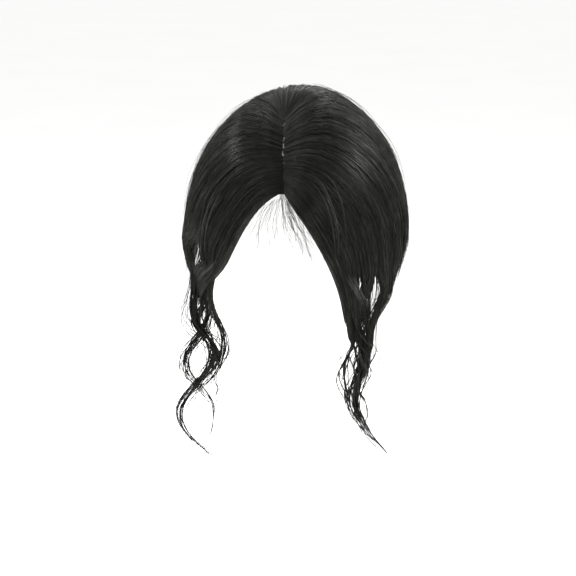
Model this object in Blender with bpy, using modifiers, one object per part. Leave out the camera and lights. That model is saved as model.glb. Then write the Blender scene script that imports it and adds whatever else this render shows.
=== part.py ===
"""Hair topper: a curved net base with a middle parting, two curtains of hair
with wavy tendrils, a short fall over the back of the crown and four clips.

The origin is the top of the head that the base sits on. The hair faces -Y.
"""
import math

import bmesh
import bpy
import numpy as np
from mathutils import Matrix, Vector

# Form of the head under the base, measured from its widest level
HEAD_HALF_WIDTH = 0.075
HEAD_FRONT = 0.092
HEAD_BACK = 0.096
CROWN_HEIGHT = 0.100
HEAD_LOWER = 0.170

# How far the hair stands off that form
TOP_LOFT = 0.027
SIDE_LOFT = 0.022
FRONT_LOFT = 0.010
BACK_LOFT = 0.020
HAIR_LOWER = 0.300

# Net base and the strip along its parting
BASE_WALL = 0.0012
BASE_FRONT_TILT = 60.6
BASE_SIDE_TILT = 48.0
BASE_BACK_TILT = 46.0
STRIP_WIDTH = 0.0026
STRIP_WALL = 0.0006
PART_BACK_AZIMUTH = -23.0
PART_BACK_TILT = 12.6
PART_FRONT_AZIMUTH = -1.7
PART_FRONT_TILT = 59.4

# Clearances
GAP = 0.0003
SEAT = 0.0009
SEAM = 0.0006

# Sheets of hair
ROOT_WALL = 0.0020
HAIR_WALL = 0.0130
TIP_WALL = 0.0070
ROOT_RISE = 0.034
LOCK_RELIEF = 0.0016
END_NOTCH_SHARE = 0.045

# Clips
CLIP_LENGTH = 0.032
CLIP_WIDTH = 0.008
CLIP_WALL = 0.0016
CLIP_EDGE = 0.0005
CLIP_FRONT_AZIMUTH = 62.0
CLIP_FRONT_TILT = 39.0
CLIP_BACK_AZIMUTH = 140.0
CLIP_BACK_TILT = 36.0

# Tendrils
LOCK_RADIUS = 0.0050
LEFT_TOP = -0.140
LEFT_DROP = 0.160
LEFT_CENTRE = -0.078
LEFT_SPREAD = 0.040
LEFT_HANG = -0.050
RIGHT_TOP = -0.160
RIGHT_DROP = 0.120
RIGHT_CENTRE = 0.062
RIGHT_SPREAD = 0.040
RIGHT_HANG = -0.075
CURL_DEPTH = 0.014

# Guide locks of each sheet, from the back of the parting to the hairline.
# root is the share of the parting; azimuths and tilts are degrees, from the
# front and from the crown; bend and fall steer the lock and end is its tip.
LEFT_GUIDES = [
    # root, bend_az, bend_tilt, fall_az, fall_tilt, end_az, end_tilt
    (0.00, 100, 36, 112, 76, 120, 99),
    (0.20, 82, 38, 100, 86, 100, 107),
    (0.40, 64, 42, 88, 92, 84, 113),
    (0.60, 46, 50, 66, 96, 74, 118),
    (0.80, 31, 61, 42, 99, 63, 120),
    (1.00, 26, 73, 27, 99, 57, 121),
]
RIGHT_GUIDES = [
    (0.00, 100, 36, 112, 76, 120, 99),
    (0.20, 82, 38, 98, 80, 86, 99),
    (0.40, 64, 42, 88, 88, 62, 112),
    (0.60, 44, 50, 68, 95, 48, 126),
    (0.80, 24, 62, 40, 98, 38, 128),
    (1.00, 6, 75, 28, 95, 32, 127),
]
BACK_GUIDES = [
    (0.00, 100, 36, 112, 76, 120, 99),
    (0.00, 124, 34, 132, 66, 138, 93),
    (0.00, 150, 31, 156, 60, 160, 83),
    (0.00, 180, 30, 180, 58, 180, 79),
]

# Tendrils, as shares: down of the drop, across of the spread, forward of the
# curl depth and girth of the lock radius.
LEFT_TENDRILS = {
    "outer": [
        (0.00, -0.16, 0.0, 1.00), (0.08, -0.24, 0.1, 0.95), (0.16, -0.21, 0.4, 0.90),
        (0.23, -0.05, 0.6, 0.85), (0.30, 0.20, 0.3, 0.80), (0.38, 0.29, -0.2, 0.75),
        (0.46, 0.20, -0.5, 0.65), (0.56, -0.11, -0.5, 0.50), (0.66, -0.41, 0.0, 0.38),
        (0.74, -0.44, 0.4, 0.32), (0.84, -0.20, 0.5, 0.27), (0.93, 0.16, 0.1, 0.23),
        (1.00, 0.38, -0.2, 0.18),
    ],
    "inner": [
        (0.00, 0.20, 0.0, 0.90), (0.08, 0.19, -0.3, 0.85), (0.15, 0.16, -0.5, 0.75),
        (0.22, 0.09, -0.4, 0.60), (0.29, -0.09, 0.0, 0.48), (0.36, -0.27, 0.4, 0.38),
        (0.43, -0.32, 0.5, 0.33), (0.50, -0.25, 0.2, 0.30), (0.58, -0.02, -0.3, 0.26),
        (0.66, 0.20, -0.1, 0.23), (0.74, 0.23, 0.3, 0.20), (0.83, 0.18, 0.1, 0.17),
    ],
    "face": [
        (0.02, 0.22, 0.1, 0.55), (0.10, 0.25, 0.3, 0.42), (0.17, 0.38, 0.4, 0.36),
        (0.24, 0.49, 0.2, 0.34), (0.31, 0.54, -0.2, 0.32), (0.38, 0.51, -0.5, 0.29),
        (0.44, 0.42, -0.3, 0.25), (0.50, 0.31, 0.1, 0.21), (0.56, 0.37, 0.3, 0.19),
        (0.62, 0.31, 0.1, 0.17), (0.69, 0.40, -0.2, 0.16),
    ],
}
RIGHT_TENDRILS = {
    "outer": [
        (0.02, 0.08, 0.0, 1.30), (0.11, 0.13, 0.2, 1.40), (0.20, 0.13, 0.4, 1.45),
        (0.29, 0.10, 0.4, 1.30), (0.38, 0.04, 0.2, 1.00), (0.47, -0.06, 0.0, 0.65),
        (0.56, -0.13, -0.3, 0.45), (0.65, -0.13, -0.4, 0.35), (0.74, -0.03, -0.3, 0.32),
        (0.83, 0.16, 0.1, 0.28), (0.91, 0.41, 0.3, 0.24), (0.99, 0.64, 0.2, 0.18),
    ],
    "face": [
        (0.02, -0.30, 0.1, 0.70), (0.10, -0.22, 0.3, 0.60), (0.17, -0.14, 0.4, 0.50),
        (0.25, -0.26, 0.3, 0.42), (0.34, -0.35, 0.1, 0.36), (0.43, -0.37, -0.2, 0.33),
        (0.52, -0.34, -0.4, 0.30), (0.61, -0.28, -0.3, 0.28), (0.70, -0.17, 0.0, 0.24),
        (0.79, 0.04, 0.2, 0.20),
    ],
    "loop": [
        (0.33, 0.07, 0.4, 0.70), (0.43, 0.00, 0.5, 0.34), (0.51, -0.03, 0.5, 0.24),
        (0.58, 0.09, 0.3, 0.22), (0.66, 0.15, 0.0, 0.21), (0.73, 0.14, -0.3, 0.20),
        (0.81, 0.07, -0.4, 0.18), (0.87, -0.05, -0.2, 0.16),
    ],
}

# Mesh counts
SHEET_COLUMNS = 36
BACK_COLUMNS = 40
SHEET_ROWS = 14
LOCKS_A_SHEET = 9
BASE_SECTORS = 36
BASE_RINGS = 7
STRIP_STEPS = 16
TENDRIL_POINTS = 22

HEAD_CENTRE = np.array([0.0, 0.0, -CROWN_HEIGHT])


# Directions and forms
def direction(azimuth, tilt):
    """Unit vector at an azimuth from the front and a tilt from the crown."""
    a = math.radians(azimuth)
    t = math.radians(tilt)
    return np.array([math.sin(a) * math.sin(t), -math.cos(a) * math.sin(t), math.cos(t)])


def unit(vector):
    return vector / np.linalg.norm(vector)


def form_radius(d, half_width, front, back, upper, lower):
    """Distance from the head centre to an egg-like form along d."""
    along_y = front if d[1] < 0 else back
    along_z = upper if d[2] > 0 else lower
    return 1.0 / math.sqrt((d[0] / half_width) ** 2 + (d[1] / along_y) ** 2 + (d[2] / along_z) ** 2)


def head_radius(d):
    return form_radius(d, HEAD_HALF_WIDTH, HEAD_FRONT, HEAD_BACK, CROWN_HEIGHT, HEAD_LOWER)


def hair_radius(d):
    return form_radius(
        d,
        HEAD_HALF_WIDTH + SIDE_LOFT,
        HEAD_FRONT + FRONT_LOFT,
        HEAD_BACK + BACK_LOFT,
        CROWN_HEIGHT + TOP_LOFT,
        HAIR_LOWER,
    )


def smoothstep(x):
    x = min(max(x, 0.0), 1.0)
    return x * x * (3.0 - 2.0 * x)


def blend_rows(rows, t):
    """Smooth value of every column at t, from 0 at the first row to 1 at the last."""
    table = np.array(rows, dtype=float)
    last = len(table) - 1
    place = min(max(t, 0.0), 1.0) * last
    i = min(int(place), last - 1)
    f = place - i
    before = table[max(i - 1, 0)]
    a = table[i]
    b = table[i + 1]
    after = table[min(i + 2, last)]
    slope_a = (b - before) / 2.0
    slope_b = (after - a) / 2.0
    h = b - a
    return a + slope_a * f + (3.0 * h - 2.0 * slope_a - slope_b) * f ** 2 + (slope_a + slope_b - 2.0 * h) * f ** 3


def parting(share):
    """Direction on the parting, from its back end to the hairline."""
    back = direction(PART_BACK_AZIMUTH, PART_BACK_TILT)
    front = direction(PART_FRONT_AZIMUTH, PART_FRONT_TILT)
    angle = math.acos(float(np.dot(back, front)))
    return (back * math.sin((1.0 - share) * angle) + front * math.sin(share * angle)) / math.sin(angle)


# Flow of the hair
class Flow:
    """Path of a lock from its root beside the parting to its tip."""

    def __init__(self, guides, side, t):
        root, bend_az, bend_tilt, fall_az, fall_tilt, end_az, end_tilt = blend_rows(guides, t)
        start = parting(min(max(root, 0.0), 1.0))
        across = direction(side * max(bend_az, 90.0), 90.0)
        across = unit(across - start * np.dot(across, start))
        aside = (STRIP_WIDTH / 2.0 + GAP) / head_radius(start)
        self.knots = [
            unit(start + across * aside),
            direction(side * bend_az, bend_tilt),
            direction(side * fall_az, fall_tilt),
            direction(side * end_az, end_tilt),
        ]

    def at(self, v):
        a, b, c, d = self.knots
        w = 1.0 - v
        return unit(a * w ** 3 + b * 3.0 * w * w * v + c * 3.0 * w * v * v + d * v ** 3)

    def across(self, v):
        """Unit vector along the form, square to the lock."""
        here = self.at(v)
        step = self.at(min(v + 0.01, 1.0)) - self.at(max(v - 0.01, 0.0))
        return unit(np.cross(here, step))


def lock_wave(t, locks):
    """Rounded profile of the locks across a sheet, 0 in a crease and 1 on a crest."""
    return abs(math.sin(math.pi * t * locks)) ** 0.7


def hair_sheet(guides, side, columns, locks, inset_start, inset_end):
    """Outer and inner grids of a sheet of hair, lofted along its guide locks."""
    outer = []
    inner = []
    for i in range(columns + 1):
        t = i / columns
        flow = Flow(guides, side, t)
        crest = lock_wave(t, locks)
        reach = 1.0 - END_NOTCH_SHARE * (1.0 - crest)
        outer_line = []
        inner_line = []
        for j in range(SHEET_ROWS + 1):
            v = reach * (j / SHEET_ROWS) ** 1.15
            d = flow.at(v)
            shift = 0.0
            if i == 0:
                shift = inset_start
            if i == columns:
                shift = inset_end
            d = unit(d + flow.across(v) * shift / head_radius(d))
            away = math.acos(min(float(np.dot(d, flow.knots[0])), 1.0)) * head_radius(d)
            rise = smoothstep(away / ROOT_RISE) ** 0.8
            seat = head_radius(d) + BASE_WALL + SEAT
            full = hair_radius(d) + LOCK_RELIEF * (crest - 0.6) * rise
            top = (seat + ROOT_WALL) * (1.0 - rise) + max(full, seat + ROOT_WALL) * rise
            wall = HAIR_WALL + (TIP_WALL - HAIR_WALL) * smoothstep(v)
            under = max(seat, top - wall)
            outer_line.append(HEAD_CENTRE + d * top)
            inner_line.append(HEAD_CENTRE + d * under)
        outer.append(outer_line)
        inner.append(inner_line)
    return outer, inner


def loft_solid(name, outer, inner, flip):
    """Closed solid between two grids of the same size."""
    columns = len(outer)
    rows = len(outer[0])
    points = [p for line in outer for p in line] + [p for line in inner for p in line]
    half = columns * rows

    def at(i, j, layer):
        return layer * half + i * rows + j

    faces = []
    for i in range(columns - 1):
        for j in range(rows - 1):
            faces.append((at(i, j, 0), at(i, j + 1, 0), at(i + 1, j + 1, 0), at(i + 1, j, 0)))
            faces.append((at(i, j, 1), at(i + 1, j, 1), at(i + 1, j + 1, 1), at(i, j + 1, 1)))
    for i in range(columns - 1):
        faces.append((at(i, 0, 0), at(i + 1, 0, 0), at(i + 1, 0, 1), at(i, 0, 1)))
        faces.append((at(i, rows - 1, 0), at(i, rows - 1, 1), at(i + 1, rows - 1, 1), at(i + 1, rows - 1, 0)))
    for j in range(rows - 1):
        faces.append((at(0, j, 0), at(0, j, 1), at(0, j + 1, 1), at(0, j + 1, 0)))
        last = columns - 1
        faces.append((at(last, j, 0), at(last, j + 1, 0), at(last, j + 1, 1), at(last, j, 1)))
    if flip:
        faces = [tuple(reversed(face)) for face in faces]
    mesh = bpy.data.meshes.new(name)
    mesh.from_pydata([tuple(p) for p in points], [], faces)
    mesh.validate()
    mesh.update()
    return mesh


# Scene helpers
def clear_scene():
    for item in list(bpy.data.objects):
        bpy.data.objects.remove(item, do_unlink=True)


def material(name, colour, roughness, metallic=0.0):
    made = bpy.data.materials.new(name)
    made.use_nodes = True
    shader = made.node_tree.nodes["Principled BSDF"]
    shader.inputs["Base Color"].default_value = (*colour, 1.0)
    shader.inputs["Roughness"].default_value = roughness
    shader.inputs["Metallic"].default_value = metallic
    return made


def add_object(name, mesh, collection, colour, roughness, metallic=0.0):
    piece = bpy.data.objects.new(name, mesh)
    collection.objects.link(piece)
    piece.data.materials.append(material(name, colour, roughness, metallic))
    return piece


# Net base and parting strip
def base_edge(azimuth):
    """Tilt of the base's edge at an azimuth from the front."""
    c = math.cos(math.radians(azimuth))
    towards = BASE_FRONT_TILT if c > 0 else BASE_BACK_TILT
    return BASE_SIDE_TILT + (towards - BASE_SIDE_TILT) * abs(c) ** 1.6


def make_base(collection):
    points = [HEAD_CENTRE + direction(0, 0) * head_radius(direction(0, 0))]
    for k in range(1, BASE_RINGS + 1):
        for i in range(BASE_SECTORS):
            azimuth = 360.0 * i / BASE_SECTORS
            d = direction(azimuth, base_edge(azimuth) * k / BASE_RINGS)
            points.append(HEAD_CENTRE + d * head_radius(d))
    faces = []
    for i in range(BASE_SECTORS):
        after = (i + 1) % BASE_SECTORS
        faces.append((0, 1 + i, 1 + after))
        for k in range(BASE_RINGS - 1):
            ring = 1 + k * BASE_SECTORS
            outer_ring = ring + BASE_SECTORS
            faces.append((ring + i, outer_ring + i, outer_ring + after, ring + after))
    mesh = bpy.data.meshes.new("base_net")
    mesh.from_pydata([tuple(p) for p in points], [], faces)
    mesh.update()
    base = add_object("base_net", mesh, collection, (0.10, 0.09, 0.08), 0.8)
    shell = base.modifiers.new("wall", "SOLIDIFY")
    shell.thickness = BASE_WALL
    shell.offset = 1.0
    return base


def make_strip(collection):
    points = []
    for k in range(STRIP_STEPS + 1):
        here = parting(k / STRIP_STEPS)
        ahead = parting(k / STRIP_STEPS + 0.01)
        across = unit(np.cross(here, ahead - here))
        for side in (-1.0, 1.0):
            d = unit(here + across * side * STRIP_WIDTH / 2.0 / head_radius(here))
            points.append(HEAD_CENTRE + d * (head_radius(d) + BASE_WALL + GAP))
    faces = []
    for k in range(STRIP_STEPS):
        faces.append((2 * k, 2 * k + 2, 2 * k + 3, 2 * k + 1))
    mesh = bpy.data.meshes.new("parting_strip")
    mesh.from_pydata([tuple(p) for p in points], [], faces)
    mesh.update()
    strip = add_object("parting_strip", mesh, collection, (0.30, 0.27, 0.25), 0.7)
    shell = strip.modifiers.new("wall", "SOLIDIFY")
    shell.thickness = STRIP_WALL
    shell.offset = 1.0
    return strip


# Tendrils
def tendril_path(rows, top, drop, centre, spread, hang):
    """Points and radii of a wavy lock that starts inside the end of its sheet."""
    first = rows[0]
    x = centre + first[1] * spread
    level = top - first[0] * drop + CROWN_HEIGHT
    flat = (x / (HEAD_HALF_WIDTH + SIDE_LOFT)) ** 2 + (level / HAIR_LOWER) ** 2
    start = -(HEAD_FRONT + FRONT_LOFT) * math.sqrt(max(1.0 - flat, 0.05)) + TIP_WALL / 2.0
    path = []
    for k in range(TENDRIL_POINTS):
        down, across, forward, girth = blend_rows(rows, k / (TENDRIL_POINTS - 1))
        free = smoothstep(down / 0.3)
        y = start * (1.0 - free) + hang * free - forward * CURL_DEPTH * free
        path.append(((centre + across * spread, y, top - down * drop), girth * LOCK_RADIUS))
    return path


def tube_mesh(name, path):
    """Closed tapered tube along a path of points and radii."""
    curve = bpy.data.curves.new(name, "CURVE")
    curve.dimensions = "3D"
    curve.bevel_depth = 1.0
    curve.bevel_resolution = 2
    curve.use_fill_caps = True
    spline = curve.splines.new("POLY")
    spline.points.add(len(path) - 1)
    for point, (place, radius) in zip(spline.points, path):
        point.co = (*place, 1.0)
        point.radius = radius
    guide = bpy.data.objects.new(name, curve)
    bpy.context.scene.collection.objects.link(guide)
    graph = bpy.context.evaluated_depsgraph_get()
    mesh = bpy.data.meshes.new_from_object(guide.evaluated_get(graph))
    bpy.data.objects.remove(guide, do_unlink=True)
    shape = bmesh.new()
    shape.from_mesh(mesh)
    bmesh.ops.remove_doubles(shape, verts=shape.verts, dist=0.00001)
    bmesh.ops.recalc_face_normals(shape, faces=shape.faces)
    shape.to_mesh(mesh)
    shape.free()
    return mesh


def fuse_locks(piece, tendrils, cutters, frame):
    """Joins each tendril to the sheet of hair that it grows from."""
    for name, rows in tendrils.items():
        mesh = tube_mesh(piece.name + "_" + name, tendril_path(rows, *frame))
        lock = bpy.data.objects.new(piece.name + "_" + name, mesh)
        cutters.objects.link(lock)
        lock.hide_render = True
        lock.display_type = "WIRE"
        join = piece.modifiers.new(name, "BOOLEAN")
        join.operation = "UNION"
        join.solver = "EXACT"
        join.object = lock


# Clips
def make_clip(name, azimuth, tilt, collection):
    d = direction(azimuth, tilt)
    step = 0.01
    side_way = direction(azimuth + step / math.sin(math.radians(tilt)), tilt)
    down_way = direction(azimuth, tilt + step)
    here = d * head_radius(d)
    along = unit(side_way * head_radius(side_way) - here)
    down = unit(down_way * head_radius(down_way) - here)
    normal = unit(np.cross(down, along))
    if np.dot(normal, d) < 0.0:
        normal = -normal
    down = np.cross(normal, along)
    rise = -1.0
    for a in (-0.5, 0.0, 0.5):
        for b in (-0.5, 0.0, 0.5):
            corner = here + along * a * CLIP_LENGTH + down * b * CLIP_WIDTH
            rise = max(rise, float(np.linalg.norm(corner)) - head_radius(unit(corner)))
    place = HEAD_CENTRE + here - normal * (rise + SEAT + CLIP_WALL / 2.0)
    bpy.ops.mesh.primitive_cube_add(size=1.0)
    clip = bpy.context.active_object
    clip.name = name
    clip.data.name = name
    for vertex in clip.data.vertices:
        vertex.co.x *= CLIP_LENGTH
        vertex.co.y *= CLIP_WIDTH
        vertex.co.z *= CLIP_WALL
    turn = Matrix((along, down, normal)).transposed().to_4x4()
    clip.matrix_world = Matrix.Translation(Vector(place)) @ turn
    for holder in list(clip.users_collection):
        holder.objects.unlink(clip)
    collection.objects.link(clip)
    clip.data.materials.append(material(name, (0.02, 0.02, 0.02), 0.4, 0.3))
    edge = clip.modifiers.new("edge", "BEVEL")
    edge.width = CLIP_EDGE
    edge.segments = 1
    return clip


def make_hair(name, guides, side, columns, locks, insets, flip, collection):
    outer, inner = hair_sheet(guides, side, columns, locks, *insets)
    mesh = loft_solid(name, outer, inner, flip)
    piece = add_object(name, mesh, collection, (0.018, 0.017, 0.017), 0.38)
    piece.data.shade_smooth()
    return piece


def back_rows():
    """Guides of the back, from the left seam round to the right one."""
    rows = list(BACK_GUIDES)
    for root, bend_az, bend_tilt, fall_az, fall_tilt, end_az, end_tilt in reversed(BACK_GUIDES[:-1]):
        rows.append((root, 360 - bend_az, bend_tilt, 360 - fall_az, fall_tilt, 360 - end_az, end_tilt))
    return rows


def main():
    clear_scene()
    topper = bpy.data.collections.new("hair_topper")
    bpy.context.scene.collection.children.link(topper)
    cutters = bpy.data.collections.new("cutters")
    bpy.context.scene.collection.children.link(cutters)

    make_base(topper)
    make_strip(topper)
    half_seam = SEAM / 2.0
    seams = (half_seam, 0.0)
    left = make_hair("left_hair", LEFT_GUIDES, -1, SHEET_COLUMNS, LOCKS_A_SHEET, seams, False, topper)
    seams = (-half_seam, 0.0)
    right = make_hair("right_hair", RIGHT_GUIDES, 1, SHEET_COLUMNS, LOCKS_A_SHEET, seams, True, topper)
    seams = (half_seam, -half_seam)
    make_hair("back_hair", back_rows(), 1, BACK_COLUMNS, LOCKS_A_SHEET + 1, seams, False, topper)
    fuse_locks(left, LEFT_TENDRILS, cutters, (LEFT_TOP, LEFT_DROP, LEFT_CENTRE, LEFT_SPREAD, LEFT_HANG))
    fuse_locks(right, RIGHT_TENDRILS, cutters, (RIGHT_TOP, RIGHT_DROP, RIGHT_CENTRE, RIGHT_SPREAD, RIGHT_HANG))
    make_clip("clip_front_left", -CLIP_FRONT_AZIMUTH, CLIP_FRONT_TILT, topper)
    make_clip("clip_front_right", CLIP_FRONT_AZIMUTH, CLIP_FRONT_TILT, topper)
    make_clip("clip_back_left", -CLIP_BACK_AZIMUTH, CLIP_BACK_TILT, topper)
    make_clip("clip_back_right", CLIP_BACK_AZIMUTH, CLIP_BACK_TILT, topper)


main()
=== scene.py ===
"""Hair topper: combed strands, net base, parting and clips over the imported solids."""

import math

import bpy
import numpy as np
from mathutils import Matrix, Vector


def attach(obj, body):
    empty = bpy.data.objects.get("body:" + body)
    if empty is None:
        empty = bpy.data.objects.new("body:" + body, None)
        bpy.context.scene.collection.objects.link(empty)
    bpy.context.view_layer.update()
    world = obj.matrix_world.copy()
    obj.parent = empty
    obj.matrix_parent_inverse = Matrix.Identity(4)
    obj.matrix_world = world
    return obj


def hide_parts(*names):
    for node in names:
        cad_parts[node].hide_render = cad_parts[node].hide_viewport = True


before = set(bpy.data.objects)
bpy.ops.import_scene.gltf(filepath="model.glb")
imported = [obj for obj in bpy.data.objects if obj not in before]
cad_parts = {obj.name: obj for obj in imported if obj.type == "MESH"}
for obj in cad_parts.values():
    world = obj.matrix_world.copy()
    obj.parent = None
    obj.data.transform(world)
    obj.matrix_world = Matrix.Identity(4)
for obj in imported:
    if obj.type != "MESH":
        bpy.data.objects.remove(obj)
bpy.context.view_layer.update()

# Form that the base is seated on, and how far the hair stands off it, in metres
HEAD_HALF_WIDTH = 0.075
HEAD_FRONT = 0.092
HEAD_BACK = 0.096
CROWN_HEIGHT = 0.100
HEAD_LOWER = 0.170
TOP_LOFT = 0.027
SIDE_LOFT = 0.022
FRONT_LOFT = 0.010
BACK_LOFT = 0.020
HAIR_LOWER = 0.300
BASE_WALL = 0.0012
SEAT = 0.0009
ROOT_WALL = 0.0020
HAIR_WALL = 0.0130
TIP_WALL = 0.0070
ROOT_RISE = 0.034
LOCK_RELIEF = 0.0016
LOCKS_A_SHEET = 9
PART_BACK_AZIMUTH = -23.0
PART_BACK_TILT = 12.6
PART_FRONT_AZIMUTH = -1.7
PART_FRONT_TILT = 59.4
HEAD_CENTRE = np.array([0.0, 0.0, -CROWN_HEIGHT])

# Guide locks of each sheet of hair, from the back of the parting to the hairline
LEFT_GUIDES = [
    # root, bend_az, bend_tilt, fall_az, fall_tilt, end_az, end_tilt
    (0.00, 100, 36, 112, 76, 120, 99),
    (0.20, 82, 38, 100, 86, 100, 107),
    (0.40, 64, 42, 88, 92, 84, 113),
    (0.60, 46, 50, 66, 96, 74, 118),
    (0.80, 31, 61, 42, 99, 63, 120),
    (1.00, 26, 73, 27, 99, 57, 121),
]
RIGHT_GUIDES = [
    (0.00, 100, 36, 112, 76, 120, 99),
    (0.20, 82, 38, 98, 80, 86, 99),
    (0.40, 64, 42, 88, 88, 62, 112),
    (0.60, 44, 50, 68, 95, 48, 126),
    (0.80, 24, 62, 40, 98, 38, 128),
    (1.00, 6, 75, 28, 95, 32, 127),
]
BACK_GUIDES = [
    (0.00, 100, 36, 112, 76, 120, 99),
    (0.00, 124, 34, 132, 66, 138, 93),
    (0.00, 150, 31, 156, 60, 160, 83),
    (0.00, 180, 30, 180, 58, 180, 79),
    (0.00, 210, 31, 204, 60, 200, 83),
    (0.00, 236, 34, 228, 66, 222, 93),
    (0.00, 260, 36, 248, 76, 240, 99),
]

# Tendrils: down, across, forward and girth, as shares of the drop, the spread,
# the curl depth and the lock radius
LOCK_RADIUS = 0.0050
CURL_DEPTH = 0.014
TENDRIL_STRAND_RADIUS = 0.00020
LEFT_HANG = {"top": -0.140, "drop": 0.160, "centre": -0.078, "spread": 0.040, "hang": -0.050}
RIGHT_HANG = {"top": -0.160, "drop": 0.120, "centre": 0.062, "spread": 0.040, "hang": -0.075}
LEFT_TENDRILS = {
    "outer": [
        (0.00, -0.16, 0.0, 1.00), (0.08, -0.24, 0.1, 0.95), (0.16, -0.21, 0.4, 0.90),
        (0.23, -0.05, 0.6, 0.85), (0.30, 0.20, 0.3, 0.80), (0.38, 0.29, -0.2, 0.75),
        (0.46, 0.20, -0.5, 0.65), (0.56, -0.11, -0.5, 0.50), (0.66, -0.41, 0.0, 0.38),
        (0.74, -0.44, 0.4, 0.32), (0.84, -0.20, 0.5, 0.27), (0.93, 0.16, 0.1, 0.23),
        (1.00, 0.38, -0.2, 0.18),
    ],
    "inner": [
        (0.00, 0.20, 0.0, 0.90), (0.08, 0.19, -0.3, 0.85), (0.15, 0.16, -0.5, 0.75),
        (0.22, 0.09, -0.4, 0.60), (0.29, -0.09, 0.0, 0.48), (0.36, -0.27, 0.4, 0.38),
        (0.43, -0.32, 0.5, 0.33), (0.50, -0.25, 0.2, 0.30), (0.58, -0.02, -0.3, 0.26),
        (0.66, 0.20, -0.1, 0.23), (0.74, 0.23, 0.3, 0.20), (0.83, 0.18, 0.1, 0.17),
    ],
    "front": [
        (0.02, 0.22, 0.1, 0.55), (0.10, 0.25, 0.3, 0.42), (0.17, 0.38, 0.4, 0.36),
        (0.24, 0.44, 0.2, 0.34), (0.31, 0.46, -0.2, 0.32), (0.38, 0.43, -0.5, 0.29),
        (0.44, 0.37, -0.3, 0.25), (0.50, 0.30, 0.1, 0.21), (0.56, 0.37, 0.3, 0.19),
        (0.62, 0.31, 0.1, 0.17), (0.69, 0.40, -0.2, 0.16),
    ],
}
RIGHT_TENDRILS = {
    "outer": [
        (0.02, 0.08, 0.0, 1.30), (0.11, 0.13, 0.2, 1.40), (0.20, 0.13, 0.4, 1.45),
        (0.29, 0.10, 0.4, 1.30), (0.38, 0.04, 0.2, 1.00), (0.47, -0.06, 0.0, 0.65),
        (0.56, -0.13, -0.3, 0.45), (0.65, -0.13, -0.4, 0.35), (0.74, -0.03, -0.3, 0.32),
        (0.83, 0.16, 0.1, 0.28), (0.91, 0.41, 0.3, 0.24), (0.99, 0.64, 0.2, 0.18),
    ],
    "front": [
        (0.02, -0.30, 0.1, 0.70), (0.10, -0.22, 0.3, 0.60), (0.17, -0.14, 0.4, 0.50),
        (0.25, -0.26, 0.3, 0.42), (0.34, -0.35, 0.1, 0.36), (0.43, -0.37, -0.2, 0.33),
        (0.52, -0.34, -0.4, 0.30), (0.61, -0.28, -0.3, 0.28), (0.70, -0.17, 0.0, 0.24),
        (0.79, 0.04, 0.2, 0.20),
    ],
    "loop": [
        (0.02, 0.08, 0.0, 0.90), (0.14, 0.13, 0.2, 0.90), (0.24, 0.12, 0.3, 0.90),
        (0.33, 0.07, 0.4, 0.70), (0.43, 0.00, 0.5, 0.34), (0.51, -0.03, 0.5, 0.24),
        (0.58, 0.09, 0.3, 0.22), (0.66, 0.15, 0.0, 0.21), (0.73, 0.14, -0.3, 0.20),
        (0.81, 0.07, -0.4, 0.18), (0.87, -0.05, -0.2, 0.16),
    ],
}

# Wisps that only the scene shows: one that joins the left outer tendril from the front, some that cross
# between the left tendrils, a thin one that trails below them and two that fill the right tendrils
LEFT_TENDRILS["joining"] = LEFT_TENDRILS["front"][:6] + [
    (0.44, 0.36, -0.3, 0.30), (0.50, 0.22, 0.0, 0.30), (0.55, 0.00, 0.2, 0.28), (0.61, -0.28, 0.2, 0.26),
    (0.68, -0.43, 0.3, 0.24), (0.76, -0.42, 0.4, 0.22), (0.85, -0.18, 0.3, 0.20),
]
LEFT_TENDRILS["lattice"] = [
    (0.00, 0.06, 0.0, 1.00), (0.06, 0.08, 0.1, 1.00), (0.12, 0.00, 0.3, 0.90), (0.18, -0.06, 0.4, 0.80),
    (0.24, 0.02, 0.3, 0.70), (0.31, 0.20, 0.2, 0.60), (0.38, 0.28, 0.1, 0.55), (0.46, 0.18, -0.1, 0.45),
    (0.56, -0.12, -0.3, 0.38), (0.66, -0.38, -0.2, 0.30),
]
LEFT_TENDRILS["trailing"] = LEFT_TENDRILS["outer"][:-1] + [
    (1.00, 0.42, 0.0, 0.14), (1.05, 0.60, 0.0, 0.11), (1.09, 0.74, -0.1, 0.08),
]
RIGHT_TENDRILS["veil"] = [
    (0.02, -0.18, 0.1, 1.10), (0.08, -0.12, 0.2, 1.00), (0.14, -0.02, 0.3, 0.90), (0.20, 0.08, 0.4, 0.90),
    (0.27, 0.13, 0.4, 0.85), (0.35, 0.10, 0.3, 0.80), (0.42, 0.00, 0.1, 0.60), (0.50, -0.12, 0.0, 0.45),
    (0.58, -0.16, -0.3, 0.35), (0.67, -0.12, -0.3, 0.28),
]
RIGHT_TENDRILS["between"] = [
    (0.02, -0.10, 0.1, 0.70), (0.12, 0.00, 0.2, 0.70), (0.20, 0.05, 0.3, 0.60), (0.28, 0.04, 0.3, 0.50),
    (0.36, -0.03, 0.2, 0.45), (0.45, -0.15, 0.0, 0.40), (0.54, -0.25, -0.3, 0.35), (0.63, -0.24, -0.3, 0.30),
    (0.72, -0.12, -0.1, 0.25), (0.80, 0.06, 0.1, 0.20), (0.88, 0.30, 0.2, 0.20),
]

# Small openings between the locks of a sheet
OPENINGS = {
    # place across, place along, half width, half length
    "left": [(0.684, 0.705, 0.080, 0.062), (0.775, 0.69, 0.014, 0.034)],
    "right": [(0.770, 0.775, 0.019, 0.044), (0.675, 0.840, 0.050, 0.068), (0.820, 0.860, 0.009, 0.040)],
}

# Levels where the hair of a side is drawn in toward a line, or let out where the share is negative
WAISTS = {
    # level, reach, line, share
    "left": [(-0.100, 0.018, -0.0785, -0.09), (-0.142, 0.014, -0.0785, 0.42)],
    "right": [(-0.151, 0.012, 0.0660, -0.20), (-0.178, 0.009, 0.0665, 0.30)],
}

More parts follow.
